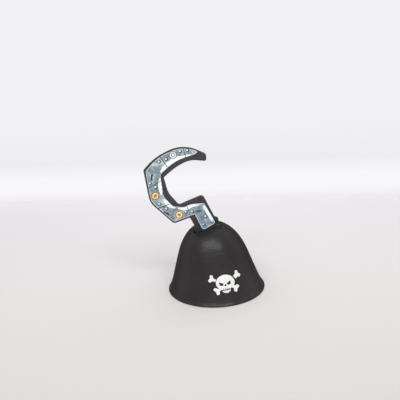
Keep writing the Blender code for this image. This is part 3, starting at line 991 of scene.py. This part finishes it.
def tooth_edge(half_width, line, direction):
    """Edge points from left to right along a row of teeth, with thin gaps cut into it."""
    points = []
    for gap in TOOTH_GAPS:
        for side, depth in ((-1, 0.0), (-1, TOOTH_DEPTH), (1, TOOTH_DEPTH), (1, 0.0)):
            points.append(Vector((gap + side * TOOTH_GAP_WIDTH / 2, line + direction * depth)))
    return [Vector((-half_width, line))] + points + [Vector((half_width, line))]


def make_emblem():
    white = mottled("white_ink", colour(217, 217, 216), colour(231, 231, 230), 0.55, 300.0)

    def transfer(name, loops, node):
        bm = bmesh.new()
        thin_solid(bm, loops, EMBLEM_SINK, EMBLEM_RAISE, on_cup, EMBLEM_GRID)
        add_piece(name, bm, white, "cup", "white_ink", node)

    turn = pi - 2 * SKULL_SIDE_ANGLE
    angles = [SKULL_SIDE_ANGLE + turn * step / SKULL_STEPS for step in range(SKULL_STEPS + 1)]
    skull = [Vector((SKULL_HALF_WIDTH * cos(a), SKULL_HALF_HEIGHT * sin(a))) for a in angles]
    aside = Vector((FACE_SHIFT, 0.0))
    teeth = [point + aside for point in tooth_edge(TEETH_HALF_WIDTH, TOOTH_LINE, 1.0)]
    skull += [Vector((LEFT_CHEEK, CHEEK_LINE))] + teeth + [Vector((RIGHT_CHEEK, CHEEK_LINE))]
    socket = rounded_outline(EYE_SOCKET)
    right_socket = [point + aside for point in socket]
    left_socket = [Vector((-point.x, point.y)) + aside for point in socket]
    nose = [point + aside for point in rounded_outline(NOSE)]
    transfer("white_skull", [skull, right_socket, left_socket, nose], "skull_transfer")
    chin_angles = [pi * step / CHIN_STEPS for step in range(1, CHIN_STEPS)]
    chin_depth = JAW_END - JAW_LINE
    chin = [Vector((JAW_HALF_WIDTH * cos(a), JAW_LINE + chin_depth * sin(a))) for a in chin_angles]
    jaw = [point + aside for point in tooth_edge(JAW_HALF_WIDTH, JAW_LINE, -1.0) + chin]
    transfer("white_jaw", [jaw], "jaw_transfer")
    for name, *shape in BONES:
        transfer("white_" + name, [bone_outline(*shape)], name + "_transfer")


def bone_outline(inner_end, direction, length, shaft):
    """Bone end beside the skull: a short shaft that opens into two round knobs."""
    along = Vector((cos(direction), sin(direction)))
    aside = Vector((-along.y, along.x))
    half = [
        (0.0, shaft, 0.4),
        (length - KNOB_NECK, shaft, 1.2),
        (length - KNOB_HEEL, KNOB_HEEL_HALF_WIDTH, 1.4),
        (length + KNOB_END, KNOB_END_HALF_WIDTH, 1.5),
        (length + KNOB_CLEFT, 0.0, 0.4),
    ]
    other_half = [(x, -y, radius) for x, y, radius in reversed(half[:-1])]
    outline = rounded_outline(half + other_half)
    return [inner_end + along * point.x + aside * point.y for point in outline]


# Studio

def stage_sheet(name, corners, material):
    mesh = bpy.data.meshes.new(name)
    mesh.from_pydata(corners, [], [list(range(len(corners)))])
    mesh.materials.append(material)
    item = bpy.data.objects.new(name, mesh)
    bpy.context.scene.collection.objects.link(item)


def floor_paper():
    """Pale paper, with painted shade that greys it a little towards the camera."""
    shader = Shader("floor_paper")
    # Painted shade: the paper's colour darkens towards the camera.
    shade = shader.ramp(shader.range(shader.axis("Y"), -0.3, 0.46, 0.0, 1.0),
                        (0.0, colour(196, 193, 189)), (0.43, colour(220, 217, 217)),
                        (0.84, colour(233, 231, 233)), (1.0, colour(241, 239, 241)))
    shader.feed("Base Color", shade)
    shader.set(Roughness=0.9, Specular_IOR_Level=0.1)
    return shader.material


def backdrop_paper():
    """Pale wall with a painted band of light at its foot and painted shade a little above it. It shows its
    own colour, and is open from behind.
    """
    shader = Shader("backdrop_paper")
    # Painted light and shade: a brighter band near the foot and a slightly darker one above it.
    shade = shader.ramp(shader.range(shader.axis("Z"), 0.0, 0.2, 0.0, 1.0),
                        (0.0, colour(240, 238, 241)), (0.1, colour(248, 247, 250)),
                        (0.22, colour(248, 247, 250)), (0.38, colour(237, 236, 239)),
                        (0.8, colour(242, 241, 244)))
    shader.feed("Base Color", shade)
    shader.set(Roughness=0.9, Specular_IOR_Level=0.1)
    seen = shader.node("ShaderNodeEmission", Color=shade, Strength=1.0)
    path = shader.tree.nodes.new("ShaderNodeLightPath")
    direct = shader.math("MAXIMUM", path.outputs["Is Camera Ray"], path.outputs["Is Glossy Ray"])
    direct = shader.math("MAXIMUM", direct, path.outputs["Is Transmission Ray"])
    blend = shader.tree.nodes.new("ShaderNodeMixShader")
    shader.tree.links.new(direct, blend.inputs[0])
    shader.tree.links.new(shader.principled.outputs[0], blend.inputs[1])
    shader.tree.links.new(seen.outputs[0], blend.inputs[2])
    behind = shader.tree.nodes.new("ShaderNodeNewGeometry")
    clear = shader.tree.nodes.new("ShaderNodeBsdfTransparent")
    one_sided = shader.tree.nodes.new("ShaderNodeMixShader")
    shader.tree.links.new(behind.outputs["Backfacing"], one_sided.inputs[0])
    shader.tree.links.new(blend.outputs[0], one_sided.inputs[1])
    shader.tree.links.new(clear.outputs[0], one_sided.inputs[2])
    shader.tree.links.new(one_sided.outputs[0], shader.tree.nodes["Material Output"].inputs["Surface"])
    return shader.material


def area_light(name, location, target, size, power):
    light = bpy.data.lights.new(name, "AREA")
    light.shape = "RECTANGLE"
    light.size = size[0]
    light.size_y = size[1]
    light.energy = power
    lamp = bpy.data.objects.new(name, light)
    lamp.location = location
    lamp.rotation_euler = (Vector(target) - Vector(location)).to_track_quat("-Z", "Y").to_euler()
    bpy.context.scene.collection.objects.link(lamp)


def make_studio():
    along = (FLOOR_RIGHT - FLOOR_LEFT).normalized()
    middle = (FLOOR_LEFT + FLOOR_RIGHT) / 2 + Vector((rim_x, 0.0))
    left = middle - along * STAGE_REACH
    right = middle + along * STAGE_REACH
    reach = STAGE_REACH
    floor = [(-reach, -reach, 0), (reach, -reach, 0), (reach, reach, 0), (-reach, reach, 0)]
    wall = [(*left, 0), (*right, 0), (*right, reach), (*left, reach)]
    stage_sheet("floor", floor, floor_paper())
    stage_sheet("backdrop", wall, backdrop_paper())
    world = bpy.data.worlds.new("studio")
    world.use_nodes = True
    sky = world.node_tree.nodes["Background"]
    sky.inputs["Color"].default_value = (1.0, 1.0, 1.0, 1.0)
    sky.inputs["Strength"].default_value = SKY_STRENGTH
    bpy.context.scene.world = world
    place = (rim_x, SOFTBOX_FRONT, SOFTBOX_HEIGHT)
    area_light("softbox", place, (rim_x, 0.0, SOFTBOX_AIM), SOFTBOX_SIZE, SOFTBOX_POWER)


def make_camera():
    camera_data = bpy.data.cameras.new("camera")
    camera_data.sensor_width = SENSOR_WIDTH
    camera_data.lens = LENS
    camera = bpy.data.objects.new("camera", camera_data)
    location = Vector((rim_x, CAMERA_FRONT, CAMERA_HEIGHT))
    turn = Matrix((CAMERA_RIGHT, CAMERA_UP, -CAMERA_FORWARD)).transposed().to_4x4()
    camera.matrix_world = Matrix.Translation(location) @ turn
    bpy.context.scene.collection.objects.link(camera)
    bpy.context.scene.camera = camera


make_camera()
make_cup()
make_hook()
make_grip()
make_emblem()
make_studio()
bpy.context.scene.view_settings.view_transform = "Standard"
